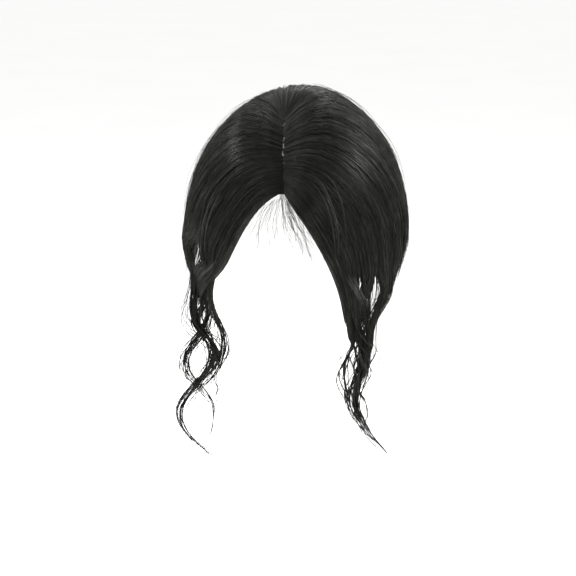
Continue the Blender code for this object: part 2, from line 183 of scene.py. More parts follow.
# Flatter place on the left of the crown
DIP_AZIMUTH = -95.0
DIP_TILT = 27.0
DIP_DEPTH = 0.0020
DIP_SPREAD = 0.050

# Body that fills a sheet under its strands
UNDER_COLUMNS = 120
UNDER_ROWS = 30
UNDER_SINK = 0.0036
UNDER_REACH = 0.92

# Share by which the left sheet is shorter at its rear rim, and where across the sheet that is
BACK_RIM_TRIM = 0.10
BACK_RIM_PLACE = 0.20
BACK_RIM_WIDTH = 0.14

# Distance of the roots from the parting line: of loose hairs, of wisps and of the under layer
LOOSE_ASIDE = 0.0012
WISP_ASIDE = 0.0015
UNDER_ASIDE = 0.0022

# Fine hairs at the hairline, in degrees from the front and from the crown
BABY_HAIRS = [
    # hairs, root_az, root_tilt, bow_az, bow_tilt, tip_az, tip_tilt, curl
    (9, -3.0, 60.5, -1.5, 70.0, 0.5, 80.0, 0.25),
    (8, -1.0, 61.0, 3.0, 74.0, 16.0, 92.0, 0.35),
    (8, 0.5, 61.0, 6.0, 76.0, 16.5, 90.0, 0.30),
    (8, -1.5, 61.0, -1.0, 78.0, 5.5, 94.5, 1.20),
    (12, 1.0, 61.0, 2.5, 84.0, 15.5, 96.5, 1.30),
    (6, -6.0, 62.0, -12.0, 74.0, -7.5, 87.0, 0.40),
    (5, -10.0, 65.0, -17.0, 80.0, -13.5, 95.0, 0.50),
    (7, -3.5, 60.5, -5.5, 74.0, -5.0, 87.0, 0.40),
    (4, 6.0, 66.0, 9.0, 86.0, 17.0, 104.0, 0.60),
    (5, 3.0, 63.0, 9.0, 76.0, 17.0, 86.0, 0.40),
    (5, -6.0, 63.0, -13.0, 74.0, -19.0, 88.0, 0.40),
    (6, -12.0, 66.0, -18.0, 76.0, -25.0, 92.0, 0.50),
    (6, 10.0, 70.0, 17.0, 84.0, 21.0, 99.0, 0.60),
    (7, 0.0, 61.0, 2.0, 74.0, 8.0, 86.0, 0.60),
]


# Directions and forms, on arrays
def unit(vectors):
    return vectors / np.maximum(np.linalg.norm(vectors, axis=-1, keepdims=True), 1e-12)


def compass(azimuth, tilt):
    """Unit vectors at azimuths from the front and tilts from the crown, in degrees."""
    a = np.radians(azimuth)
    t = np.radians(tilt)
    return np.stack([np.sin(a) * np.sin(t), -np.cos(a) * np.sin(t), np.cos(t) + 0.0 * a], axis=-1)


def egg(d, half_width, front, back, upper, lower):
    """Distance from the centre of the hollow to an egg-like form, along directions d."""
    along_y = np.where(d[..., 1] < 0, front, back)
    along_z = np.where(d[..., 2] > 0, upper, lower)
    squares = (d[..., 0] / half_width) ** 2 + (d[..., 1] / along_y) ** 2 + (d[..., 2] / along_z) ** 2
    return 1.0 / np.sqrt(squares)


def head_radius(d):
    return egg(d, HEAD_HALF_WIDTH, HEAD_FRONT, HEAD_BACK, CROWN_HEIGHT, HEAD_LOWER)


def hair_radius(d):
    full = egg(d, HEAD_HALF_WIDTH + SIDE_LOFT, HEAD_FRONT + FRONT_LOFT, HEAD_BACK + BACK_LOFT,
               CROWN_HEIGHT + TOP_LOFT, HAIR_LOWER)
    near = np.sum(d * compass(np.array(DIP_AZIMUTH), np.array(DIP_TILT)), axis=-1)
    return full - DIP_DEPTH * np.exp(-(1.0 - near) / DIP_SPREAD)


def ease(x):
    x = np.clip(x, 0.0, 1.0)
    return x * x * (3.0 - 2.0 * x)


def between_rows(rows, t):
    """Smooth value of every column at places t, from 0 at the first row to 1 at the last."""
    table = np.array(rows, dtype=float)
    last = len(table) - 1
    place = np.clip(t, -0.03, 1.03) * last
    i = np.clip(np.floor(place).astype(int), 0, last - 1)
    f = (place - i)[..., None]
    before = table[np.maximum(i - 1, 0)]
    a = table[i]
    b = table[i + 1]
    after = table[np.minimum(i + 2, last)]
    slope_a = (b - before) / 2.0
    slope_b = (after - a) / 2.0
    h = b - a
    square = 3.0 * h - 2.0 * slope_a - slope_b
    cube = slope_a + slope_b - 2.0 * h
    return a + slope_a * f + square * f ** 2 + cube * f ** 3


def parting(share):
    """Directions along the parting, from its back end to the hairline."""
    back = compass(PART_BACK_AZIMUTH, PART_BACK_TILT)
    front = compass(PART_FRONT_AZIMUTH, PART_FRONT_TILT)
    angle = math.acos(float(np.dot(back, front)))
    share = np.asarray(share)[..., None]
    return (back * np.sin((1.0 - share) * angle) + front * np.sin(share * angle)) / math.sin(angle)


def lock_wave(t, locks):
    return np.abs(np.sin(np.pi * t * locks)) ** 0.7


def left_length(t):
    """Share of its length that the left sheet keeps at places t across it."""
    return 1.0 - BACK_RIM_TRIM * np.exp(-((t - BACK_RIM_PLACE) / BACK_RIM_WIDTH) ** 2)


# Flow of the hair
def sheet_point(guides, side, t, v, lift, aside):
    """Points of locks at places t across a sheet, v along them, lifted off its form."""
    columns = between_rows(guides, t)
    root, bend_az, bend_tilt, fall_az, fall_tilt, end_az, end_tilt = np.moveaxis(columns, -1, 0)
    start = parting(np.clip(root, 0.0, 1.035))
    across = compass(side * np.maximum(bend_az, 90.0), 90.0 + 0.0 * bend_az)
    across = unit(across - start * np.sum(across * start, axis=-1, keepdims=True))
    a = unit(start + across * (aside / head_radius(start))[..., None])
    b = compass(side * bend_az, bend_tilt)
    c = compass(side * fall_az, fall_tilt)
    e = compass(side * end_az, end_tilt)
    w = (1.0 - v)[..., None]
    x = v[..., None]
    d = unit(a * w ** 3 + b * 3.0 * w * w * x + c * 3.0 * w * x * x + e * x ** 3)
    away = np.arccos(np.clip(np.sum(d * a, axis=-1), -1.0, 1.0)) * head_radius(d)
    rise = ease(away / ROOT_RISE) ** 0.8
    seat = head_radius(d) + BASE_WALL + SEAT
    full = hair_radius(d) + 0.6 * LOCK_RELIEF * (np.sin(np.pi * t * LOCKS_A_SHEET) ** 2 - 0.6) * rise
    top = (seat + ROOT_WALL) * (1.0 - rise) + np.maximum(full, seat + ROOT_WALL) * rise
    sprung = ease(away / 0.010)
    place = np.maximum(top + lift * (0.15 + 0.85 * rise), seat + 0.0002)
    place = place * sprung + (seat + 0.0003) * (1.0 - sprung)
    return HEAD_CENTRE + d * place[..., None]


def around_openings(t, v, openings):
    """Places across a sheet, with the locks pushed apart round its small openings."""
    for place, along, half_width, half_length in openings:
        off = t - place
        bell = np.exp(-((v - along) / half_length) ** 2) * np.exp(-(off / (2.4 * half_width)) ** 2)
        t = t + half_width * np.tanh(off / (0.05 * half_width)) * bell
    return t


def draw_in(points, waists):
    """Moves points across toward the line of each waist, most at its own level."""
    x = points[..., 0]
    ahead = ease((-0.012 - points[..., 1]) / 0.026)
    for level, reach, line, share in waists:
        pull = share * np.exp(-((points[..., 2] - level) / reach) ** 2) * ahead
        outer = (x - line) * math.copysign(1.0, line)
        pull = pull * (np.abs(outer) < 0.06) * (1.0 if share > 0.0 else ease(outer / 0.006))
        x = line + (x - line) * (1.0 - pull)
    return np.stack([x, points[..., 1], points[..., 2]], axis=-1)


def tendril_line(rows, hang, s):
    """Centre points and girths along a tendril at shares s, from its root to its tip."""
    down, across, forward, girth = np.moveaxis(between_rows(rows, s), -1, 0)
    first = rows[0]
    x = hang["centre"] + first[1] * hang["spread"]
    level = hang["top"] - first[0] * hang["drop"] + CROWN_HEIGHT
    flat = (x / (HEAD_HALF_WIDTH + SIDE_LOFT)) ** 2 + (level / HAIR_LOWER) ** 2
    start = -(HEAD_FRONT + FRONT_LOFT) * math.sqrt(max(1.0 - flat, 0.05)) + TIP_WALL / 2.0
    free = ease(down / 0.3)
    y = start * (1.0 - free) + hang["hang"] * free - forward * CURL_DEPTH * free
    x = hang["centre"] + across * hang["spread"]
    z = hang["top"] - down * hang["drop"]
    return np.stack([x, y, z], axis=-1), girth * LOCK_RADIUS


def settle(paths, first, last, rounds):
    """Evens out the points of each path between two of its places."""
    for _ in range(rounds):
        middle = (paths[:, first - 1:last - 1] + paths[:, first + 1:last + 1]) / 2.0
        paths[:, first:last] = paths[:, first:last] * 0.4 + middle * 0.6
    return paths


# Meshes
def new_mesh(name, points, faces):
    """Smooth mesh of four-cornered faces."""
    mesh = bpy.data.meshes.new(name)
    mesh.vertices.add(len(points))
    mesh.vertices.foreach_set("co", points.astype(np.float32).ravel())
    mesh.loops.add(faces.size)
    mesh.loops.foreach_set("vertex_index", faces.astype(np.int32).ravel())
    mesh.polygons.add(len(faces))
    mesh.polygons.foreach_set("loop_start", np.arange(0, faces.size, 4, dtype=np.int32))
    mesh.polygons.foreach_set("use_smooth", np.ones(len(faces), dtype=bool))
    mesh.update(calc_edges=True)
    return mesh


def point_value(mesh, name, values):
    layer = mesh.attributes.new(name, "FLOAT", "POINT")
    layer.data.foreach_set("value", values.astype(np.float32).ravel())


def add_piece(name, mesh, look, node):
    """Piece on the one body, in a slot's look, standing for a node where one is named."""
    piece = bpy.data.objects.new(name, mesh)
    bpy.context.scene.collection.objects.link(piece)
    mesh.materials.append(look)
    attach(piece, "root")
    if node:
        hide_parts(node)
    return piece


def strand_mesh(name, paths, radii, tones):
    """Joined mesh of tapered three-sided strands with a strip of the map for each."""
    count, points, _ = paths.shape
    along = unit(np.gradient(paths, axis=1))
    out = unit(paths - HEAD_CENTRE)
    side = unit(np.cross(along, out))
    up = np.cross(side, along)
    rings = []
    for turn in (90.0, 210.0, 330.0):
        a = math.radians(turn)
        rings.append(paths + radii[..., None] * (side * math.cos(a) * 1.25 + up * math.sin(a) * 0.8))
    verts = np.stack(rings, axis=2).reshape(-1, 3)
    s, p, k = np.meshgrid(np.arange(count), np.arange(points - 1), np.arange(3), indexing="ij")
    here = (s * points + p) * 3
    there = here + 3
    after = (k + 1) % 3
    faces = np.stack([here + k, here + after, there + after, there + k], axis=-1).reshape(-1, 4)
    mesh = new_mesh(name, verts, faces)
    across_cells = 4
    down_cells = int(math.ceil(count / across_cells))
    left = (s % across_cells) / across_cells
    low = (s // across_cells) / down_cells
    u0 = left + (p + 0.1) / (points + 0.2) / across_cells
    u1 = left + (p + 1.1) / (points + 0.2) / across_cells
    v0 = low + (k + 0.2) / 3.4 / down_cells
    v1 = low + (k + 1.2) / 3.4 / down_cells
    uv = np.stack([u0, v0, u0, v1, u1, v1, u1, v0], axis=-1)
    mesh.uv_layers.new(name="OFBake").data.foreach_set("uv", uv.astype(np.float32).ravel())
    shares = np.broadcast_to(np.linspace(0.0, 1.0, points)[None, :, None], (count, points, 3))
    point_value(mesh, "along", shares)
    point_value(mesh, "tone", np.broadcast_to(tones[:, None, None], (count, points, 3)))
    return mesh


def add_strands(name, paths, radii, tones, look, node):
    """Piece made of joined strands."""
    return add_piece(name, strand_mesh(name, paths, radii, tones), look, node)


def taper(count, points, radius, root_share, tip_from, tip_share, rng):
    """Radii of strands that swell from the root and thin out to the tip."""
    v = np.linspace(0.0, 1.0, points)[None, :]
    start = root_share + (1.0 - root_share) * ease(v / 0.12)
    end = 1.0 - (1.0 - tip_share) * ease((v - tip_from) / (1.0 - tip_from))
    return radius * rng.uniform(0.75, 1.2, (count, 1)) * start * end


# Pieces of hair
def parting_offset(root, rng):
    """Distance of a root from the parting line: close over it, with a thin crooked line left bare."""
    bare = ease((root - 0.30) / 0.06) * ease((0.74 - root) / 0.12)
    bare = bare * (0.60 + 0.25 * np.sin(root * 58.0) + 0.20 * np.sin(root * 131.0 + 1.0))
    crown = np.exp(-((root - 0.09) / 0.06) ** 2)
    return 0.0014 * bare + 0.0017 * crown - 0.0006 + rng.exponential(0.00045, root.shape)


def comb_sheet(guides, side, count, points, clumps, openings, waists, hem_share, seed):
    """Strands of a sheet, gathered into fine clumps as they fall."""
    rng = np.random.default_rng(seed)
    v = np.linspace(0.0, 1.0, points)[None, :] * (1.0 - 0.10 * rng.random((count, 1)) ** 1.5)
    # Clumps of uneven width, and the place of each strand in its own clump
    edges = np.cumsum(rng.uniform(0.4, 1.6, clumps + 1))
    edges = (edges - edges[0]) / (edges[-1] - edges[0])
    widths = np.diff(edges)
    mine = np.searchsorted(edges, rng.random(count)).clip(1, clumps) - 1
    centre = (edges[mine] + edges[mine + 1])[:, None] / 2.0
    off = rng.normal(0.0, 0.5, (count, 1)) * widths[mine][:, None]
    gather = 0.32 * ease((v - 0.1) / 0.7) * rng.uniform(0.0, 1.4, clumps)[mine][:, None]
    wander = 0.0040 * np.sin(2.0 * np.pi * (v * rng.uniform(0.5, 1.4, (count, 1)) + rng.random((count, 1))))
    t = centre + off * (1.0 - gather) + wander * ease(v / 0.3)
    t = around_openings(t, v, openings)
    deep = rng.beta(1.0, 2.6, (count, 1)) * 0.0050
    # The left sheet is shorter and thinner behind its openings
    if side < 0:
        v = v * left_length(t[:, :1])
        deep = deep * (1.0 - 0.75 * np.exp(-((t - 0.48) / 0.20) ** 2) * ease((v - 0.4) / 0.3))
    # Loose strands along the front hem, through its whole thickness
    hem = rng.random((count, 1)) < hem_share
    fray = 0.016 + 0.030 * rng.random((count, 1)) ** 2 * ease((v - 0.3) / 0.4)
    loose = 0.988 + fray * rng.random((count, 1))
    t = np.where(hem, loose + 0.3 * wander, t)
    deep = np.where(hem, rng.random((count, 1)) ** 1.4 * 0.0085, deep)
    clump_deep = -0.0009 * rng.random(clumps)[mine][:, None] ** 2
    clump_sway = 0.0004 * np.sin(2.0 * np.pi * (v * 1.1 + rng.random(clumps)[mine][:, None]))
    bulge = 0.0004 * (off / widths[mine][:, None]) ** 2
    ripple = 0.0003 * np.sin(2.0 * np.pi * (v * rng.uniform(1.0, 3.0, (count, 1)) + rng.random((count, 1))))
    lift = clump_deep + clump_sway - deep - bulge + ripple + 0.0004
    # The lower rim of the left sheet swells a little behind the openings and then turns in
    if side < 0:
        rim = ease((t - 0.28) / 0.12) * ease((0.66 - t) / 0.10)
        lift = lift + rim * (0.0022 * np.exp(-((v - 0.72) / 0.08) ** 2) - 0.0030 * ease((v - 0.85) / 0.12))
    root = between_rows(guides, t[:, :1])[..., 0]
    crooked = 0.0004 * np.sin(43.0 * root) + 0.0003 * np.sin(19.0 * root + 1.0)
    aside = parting_offset(root, rng) + side * crooked
    paths = draw_in(sheet_point(guides, side, t, v, lift, np.broadcast_to(aside, t.shape)), waists)
    tones = np.clip(rng.random(count) * 0.7 + rng.random(clumps)[mine] * 0.3, 0.0, 1.0)
    return paths, tones


def under_layer_grids(guides, side, openings, waists):
    """Outer and inner points of the closed body that fills a sheet a little under its strands."""
    t = np.linspace(0.010, 0.966, UNDER_COLUMNS + 1)[:, None] * np.ones((1, UNDER_ROWS + 1))
    ragged = UNDER_REACH - 0.016 * np.sin(t * 61.0) ** 2 - 0.010 * np.sin(t * 143.0 + 1.0) ** 2
    # The lower rim stops above each opening
    for place, along, half_width, half_length in openings:
        clear = ease(np.abs(t - place) / half_width / 3.0)
        ragged = np.minimum(ragged, along - 1.6 * half_length + clear * (1.04 - along + 1.6 * half_length))
    if side < 0:
        ragged = ragged * left_length(t)
    v = np.linspace(0.0, 1.0, UNDER_ROWS + 1)[None, :] ** 1.1 * ragged
    wave = 0.0007 * (lock_wave(t, 41) - 0.6) + 0.0005 * np.sin(t * 211.0 + 2.0 * v)
    aside = np.full(t.shape, UNDER_ASIDE)
    outer = draw_in(sheet_point(guides, side, t, v, wave * ease(v / 0.2) - UNDER_SINK, aside), waists)
    # The wall thins toward the tips and toward the front edge
    wall = HAIR_WALL + (TIP_WALL - 0.0015 - HAIR_WALL) * ease(v)
    thinnest = UNDER_SINK + 0.0008
    wall = thinnest + (wall - thinnest) * (0.25 + 0.75 * ease((t[-1, 0] - t) / 0.08))
    inner = draw_in(sheet_point(guides, side, t, v, -wall, aside), waists)
    return outer, inner, t, v


def under_layer_mesh(name, grids, flip):
    """Mesh of the outer and inner points with the four rims that join them."""
    outer, inner, t, v = grids
    columns, rows = t.shape
    half = columns * rows
    verts = np.concatenate([outer.reshape(-1, 3), inner.reshape(-1, 3)])

    def at(i, j, layer):
        return layer * half + i * rows + j

    i, j = np.meshgrid(np.arange(columns - 1), np.arange(rows - 1), indexing="ij")
    top = np.stack([at(i, j, 0), at(i, j + 1, 0), at(i + 1, j + 1, 0), at(i + 1, j, 0)], axis=-1)
    under = np.stack([at(i, j, 1), at(i + 1, j, 1), at(i + 1, j + 1, 1), at(i, j + 1, 1)], axis=-1)
    i = np.arange(columns - 1)
    root = np.stack([at(i, 0, 0), at(i + 1, 0, 0), at(i + 1, 0, 1), at(i, 0, 1)], axis=-1)
    r = rows - 1
    tip = np.stack([at(i, r, 0), at(i, r, 1), at(i + 1, r, 1), at(i + 1, r, 0)], axis=-1)
    j = np.arange(rows - 1)
    first = np.stack([at(0, j, 0), at(0, j, 1), at(0, j + 1, 1), at(0, j + 1, 0)], axis=-1)
    c = columns - 1
    last = np.stack([at(c, j, 0), at(c, j + 1, 0), at(c, j + 1, 1), at(c, j, 1)], axis=-1)
    parts = [top.reshape(-1, 4), under.reshape(-1, 4), root, tip, first, last]
    faces = np.concatenate(parts)
    if flip:
        faces = faces[:, ::-1]
    mesh = new_mesh(name, verts, faces)
    place = np.concatenate([t.ravel(), t.ravel()])
    fall = np.concatenate([v.ravel(), v.ravel()])
    point_value(mesh, "tone", place)
    point_value(mesh, "along", fall)
    col = (faces % half) // rows / (columns - 1)
    row = faces % rows / (rows - 1)
    chart = np.repeat(np.arange(len(parts)), [len(part) for part in parts])[:, None]
    deep = (faces >= half).astype(float)
    u = np.select([chart == 0, chart == 1, chart == 2, chart == 3, chart == 4, chart == 5],
                  [0.01 + 0.45 * col, 0.48 + 0.45 * col, 0.945 + 0.008 * deep, 0.957 + 0.008 * deep,
                   0.969 + 0.008 * deep, 0.981 + 0.008 * deep])
    w = np.where(chart <= 1, row, np.where(chart <= 3, col, row))
    uv = np.stack([u, 0.01 + 0.98 * w], axis=-1)
    mesh.uv_layers.new(name="OFBake").data.foreach_set("uv", uv.astype(np.float32).ravel())
    return mesh


def tendril_leads(guides, side, t, v, lift, openings, crosses):
    """Points of the hairs of a wisp where they still lie in the sheet."""
    place = t + 0.0 * v
    if not crosses:
        place = around_openings(place, v, openings)
    return sheet_point(guides, side, place, v, lift + 0.0 * v, np.full(v.shape, WISP_ASIDE))


def tendril_strands(guides, side, tendrils, hang, plan, openings, waists, seed):
    """Wisps that leave the sheet and run down the wavy tendrils, loosely twisted together."""
    rng = np.random.default_rng(seed)
    lead = 14
    tail = 30
    begin = 0.38
    all_paths = []
    all_radii = []
    all_tones = []
    for route, wisps, hairs, place, width, spread, own_share, twist, shortest, crosses in plan:
        rows = tendrils[route]
        count = wisps * hairs
        mine = np.repeat(np.arange(wisps), hairs)

        def by_wisp(values):
            return values[mine][:, None]

        # Down the sheet to the level where each wisp leaves it
        t = place + width * by_wisp(rng.normal(0.0, 1.0, wisps)) + rng.normal(0.0, width / 3.0, (count, 1))
        t = np.minimum(t, 1.012)
        lift = -rng.uniform(0.0, 0.0026, (count, 1))
        leave = hang["top"] + CURL_DEPTH * (0.10 + 0.50 * by_wisp(rng.random(wisps)))
        v = np.linspace(begin, 1.0, 40)[None, :] + np.zeros((count, 1))
        fall = tendril_leads(guides, side, t, v, lift, openings, crosses)
        last = [np.interp(-leave[k, 0], -fall[k, :, 2], v[k]) for k in range(count)]
        v = begin + (np.array(last)[:, None] - begin) * np.linspace(0.0, 1.0, lead)[None, :]
        top = draw_in(tendril_leads(guides, side, t, v, lift, openings, crosses), waists)
        # Down the tendril, each wisp about its line and each hair about its wisp
        ends = 1.0 - (1.0 - shortest) * np.linspace(0.0, 1.0, wisps) ** 1.5
        reach = by_wisp(ends) - 0.06 * rng.random((count, 1)) ** 2
        slip = by_wisp(rng.normal(0.0, 0.012, wisps))
        s = 0.02 + (0.98 * reach + slip) * np.linspace(0.0, 1.0, tail)[None, :]
        centre, girth = tendril_line(rows, hang, s)
        swell = by_wisp(rng.normal(0.0, 0.10, wisps)) * ease(s / 0.4)
        sway = centre[..., 0] - (hang["centre"] + rows[0][1] * hang["spread"])
        away = by_wisp(np.sqrt(rng.random(wisps)) * spread) * (girth + 0.0008)
        away = away * (0.45 + 0.55 * ease(s / 0.14) + 0.7 * ease((s - 0.3) / 0.3))
        beat = s * by_wisp(rng.uniform(1.0, 2.2, wisps)) + by_wisp(rng.random(wisps))
        away = away * (0.7 + 0.5 * np.sin(2.0 * np.pi * beat))
        turn = by_wisp(rng.uniform(0.0, 2.0 * np.pi, wisps)) + twist * s * 2.0 * np.pi
        own_girth = (own_share + 0.14 - 0.14 * ease(s / 0.25)) * girth + 0.00022
        own = np.sqrt(rng.random((count, 1))) * own_girth
        own_turn = rng.uniform(0.0, 2.0 * np.pi, (count, 1)) + 1.5 * twist * s * 2.0 * np.pi
        x = np.cos(turn) * away + np.cos(own_turn) * own + swell * sway
        y = (np.sin(turn) * away + np.sin(own_turn) * own) * 0.8
        low = centre + np.stack([x, y, 0.0 * x], axis=-1)
        paths = np.concatenate([top, low], axis=1)
        all_paths.append(settle(paths, lead - 2, lead + 5, 16))
        all_radii.append(taper(count, lead + tail, TENDRIL_STRAND_RADIUS, 0.4, 0.60, 0.36, rng))
        tones = rng.random(count) * 0.7 + by_wisp(rng.random(wisps))[:, 0] * 0.3
        all_tones.append(np.clip(tones, 0.0, 1.0))
    return np.concatenate(all_paths), np.concatenate(all_radii), np.concatenate(all_tones)


def bow(first, middle, last, x):
    """Values on a bow from the first to the last, drawn toward the middle one."""
    return first * (1.0 - x) ** 2 + middle * 2.0 * x * (1.0 - x) + last * x * x


def baby_hair_strands(rows, points, seed):
    """Fine curled hairs that hang in front of the hollow from the hairline."""
    rng = np.random.default_rng(seed)
    paths = []
    for hairs, root_az, root_tilt, bow_az, bow_tilt, tip_az, tip_tilt, curl in rows:
        x = np.linspace(0.0, 1.0, points)[None, :] * rng.uniform(0.82, 1.22, (hairs, 1))
        near = rng.normal(0.0, 1.7, (4, hairs, 1))
        azimuth = bow(root_az + 0.8 * near[0], bow_az + 0.9 * near[1], tip_az + near[2], x)
        tilt = bow(root_tilt, bow_tilt + near[3], tip_tilt + near[1], x)
        wave = 2.0 * np.pi * (x * rng.uniform(1.6, 2.8, (hairs, 1)) + rng.random((hairs, 1)))
        azimuth = azimuth + curl * 1.3 * np.sin(wave) * x
        tilt = tilt + curl * 0.8 * np.cos(wave * 1.3) * x
        d = compass(azimuth, tilt)
        lift = 0.0020 + 0.0022 * ease(x / 0.2) + 0.0012 * np.sin(wave * 0.7)
        paths.append(HEAD_CENTRE + d * (head_radius(d) + lift)[..., None])
    paths = np.concatenate(paths)
    return paths, rng.random(len(paths))


def stray_strands(guides, side, count, points, seed):
    """Single hairs that stand a little off a sheet."""
    rng = np.random.default_rng(seed)
    begin = rng.uniform(0.0, 0.62, (count, 1))
    v = begin + rng.uniform(0.25, 0.45, (count, 1)) * np.linspace(0.0, 1.0, points)[None, :]
    v = np.minimum(v, 1.04)
    t = rng.uniform(0.0, 1.0, (count, 1)) + rng.normal(0.0, 0.03, (count, 1)) * (v - begin)
    arch = np.sin(np.pi * (v - begin) / 0.5)
    lift = -0.0006 + (0.0006 + 0.0044 * rng.random((count, 1)) ** 2) * arch
    paths = sheet_point(guides, side, t, v, lift, np.full(t.shape, LOOSE_ASIDE))
    return paths, rng.random(count)


def crossing_strands(guides, side, rows, points, waists, seed):
    """Single hairs that cross a sheet aslant, a little above it."""
    rng = np.random.default_rng(seed)
    paths = []
    for hairs, from_t, from_v, to_t, to_v, width in rows:
        x = np.linspace(0.0, 1.0, points)[None, :] * rng.uniform(0.75, 1.0, (hairs, 1))
        beside = rng.normal(0.0, width, (hairs, 1))
        t = from_t + (to_t - from_t) * x ** 1.4 + beside * (1.0 - 0.4 * x)
        v = from_v + (to_v - from_v) * x + rng.normal(0.0, 0.012, (hairs, 1))
        lift = 0.0006 + 0.0006 * np.sin(np.pi * x)
        paths.append(sheet_point(guides, side, t, v, lift, np.full(t.shape, LOOSE_ASIDE)))
    paths = draw_in(np.concatenate(paths), waists)
    return paths, rng.random(len(paths))


# Node groups
def node_group(name, inputs, outputs):
    """Empty shader group with named sockets, given as (name, kind, value)."""
    group = bpy.data.node_groups.new(name, "ShaderNodeTree")
    for label, kind, value in inputs:
        socket = group.interface.new_socket(label, in_out="INPUT", socket_type=kind)
        socket.default_value = value
    for label, kind in outputs:
        group.interface.new_socket(label, in_out="OUTPUT", socket_type=kind)
    entry = group.nodes.new("NodeGroupInput")
    result = group.nodes.new("NodeGroupOutput")
    return group, entry.outputs, result.inputs


def maths(tree, operation, first, second=None, clamp=False):
    node = tree.nodes.new("ShaderNodeMath")
    node.operation = operation
    node.use_clamp = clamp
    for socket, value in zip(node.inputs, (first, second)):
        if value is None:
            continue
        if isinstance(value, (int, float)):
            socket.default_value = value
        else:
            tree.links.new(value, socket)
    return node.outputs[0]


def mix_colours(tree, share, first, second):
    node = tree.nodes.new("ShaderNodeMix")
    node.data_type = "RGBA"
    for socket, value in ((node.inputs[0], share), (node.inputs[6], first), (node.inputs[7], second)):
        if isinstance(value, (int, float, tuple)):
            socket.default_value = value
        else:
            tree.links.new(value, socket)
    return node.outputs[2]


def noise(tree, x, y, detail, rough=0.55):
    """Noise over a plane whose two coordinates are already scaled."""
    join = tree.nodes.new("ShaderNodeCombineXYZ")
    tree.links.new(x, join.inputs[0])
    tree.links.new(y, join.inputs[1])
    cloud = tree.nodes.new("ShaderNodeTexNoise")
    cloud.inputs["Scale"].default_value = 1.0
    cloud.inputs["Detail"].default_value = detail
    cloud.inputs["Roughness"].default_value = rough
    tree.links.new(join.outputs[0], cloud.inputs["Vector"])
    return cloud.outputs["Fac"]


def make_strand_streaks():
    """Streaks that run along the hair: fine across it and slow along it."""
    group, given, result = node_group(
        "strand_streaks",
        [("Across", "NodeSocketFloat", 0.0), ("Along", "NodeSocketFloat", 0.0),
         ("Fineness", "NodeSocketFloat", 200.0), ("Drift", "NodeSocketFloat", 3.0)],
        [("Streak", "NodeSocketFloat"), ("Height", "NodeSocketFloat")],
    )
    x = maths(group, "MULTIPLY", given["Across"], given["Fineness"])
    y = maths(group, "MULTIPLY", given["Along"], given["Drift"])
    broad = noise(group, maths(group, "MULTIPLY", x, 0.18), y, 3.0)
    fine = noise(group, x, maths(group, "MULTIPLY", y, 2.0), 4.0)
    both = maths(group, "ADD", maths(group, "MULTIPLY", broad, 0.45), maths(group, "MULTIPLY", fine, 0.55))
    contrast = maths(group, "MULTIPLY", maths(group, "SUBTRACT", both, 0.36), 3.4, clamp=True)
    group.links.new(contrast, result["Streak"])
    group.links.new(fine, result["Height"])
    return group


def make_hair_tint():
    """Colour of hair from its darker root to its light streaks, which are partly random strand tone and
    partly painted highlight.
    """
    group, given, result = node_group(
        "hair_tint",
        [("Light Share", "NodeSocketFloat", 0.5), ("Along", "NodeSocketFloat", 0.0),
         ("Root", "NodeSocketColor", (0.005, 0.005, 0.005, 1.0)),
         ("Deep", "NodeSocketColor", (0.008, 0.008, 0.008, 1.0)),
         ("Light", "NodeSocketColor", (0.03, 0.03, 0.03, 1.0))],
        [("Colour", "NodeSocketColor")],
    )
    from_root = maths(group, "MULTIPLY", given["Along"], 3.6, clamp=True)
    ground = mix_colours(group, from_root, given["Root"], given["Deep"])
    away_from_root = maths(group, "ADD", maths(group, "MULTIPLY", from_root, 0.75), 0.25)
    # Share of the light colour along the random streaks, partly painted highlight, held back near the root
    lit = maths(group, "MULTIPLY", maths(group, "POWER", given["Light Share"], 2.2), away_from_root)
    group.links.new(mix_colours(group, lit, ground, given["Light"]), result["Colour"])
    return group


def make_knotted_net():
    """Fine net of crossed threads with a knot at each crossing."""
    group, given, result = node_group(
        "knotted_net",
        [("Position", "NodeSocketVector", (0.0, 0.0, 0.0)), ("Mesh Size", "NodeSocketFloat", 900.0),
         ("Thread", "NodeSocketFloat", 0.35)],
        [("Threads", "NodeSocketFloat"), ("Height", "NodeSocketFloat")],
    )
    split = group.nodes.new("ShaderNodeSeparateXYZ")
    group.links.new(given["Position"], split.inputs[0])
    lines = []
    for slant in ("ADD", "SUBTRACT"):
        run = maths(group, slant, split.outputs[0], split.outputs[1])
        wave = maths(group, "SINE", maths(group, "MULTIPLY", run, given["Mesh Size"]))
        lines.append(maths(group, "ABSOLUTE", wave))
    nearest = maths(group, "MINIMUM", lines[0], lines[1])
    threads = maths(group, "LESS_THAN", nearest, given["Thread"])
    group.links.new(threads, result["Threads"])
    group.links.new(maths(group, "SUBTRACT", 1.0, nearest), result["Height"])
    return group


def start_material(name):
    look = bpy.data.materials.new(name)
    look.use_nodes = True
    return look, look.node_tree, look.node_tree.nodes["Principled BSDF"]


def place_group(tree, group, **values):
    node = tree.nodes.new("ShaderNodeGroup")
    node.node_tree = group
    for label, value in values.items():
        socket = node.inputs[label.replace("_", " ")]
        if isinstance(value, (int, float, tuple)):
            socket.default_value = value
        else:
            tree.links.new(value, socket)
    return node


def attribute(tree, name):
    node = tree.nodes.new("ShaderNodeAttribute")
    node.attribute_name = name
    return node.outputs["Fac"]


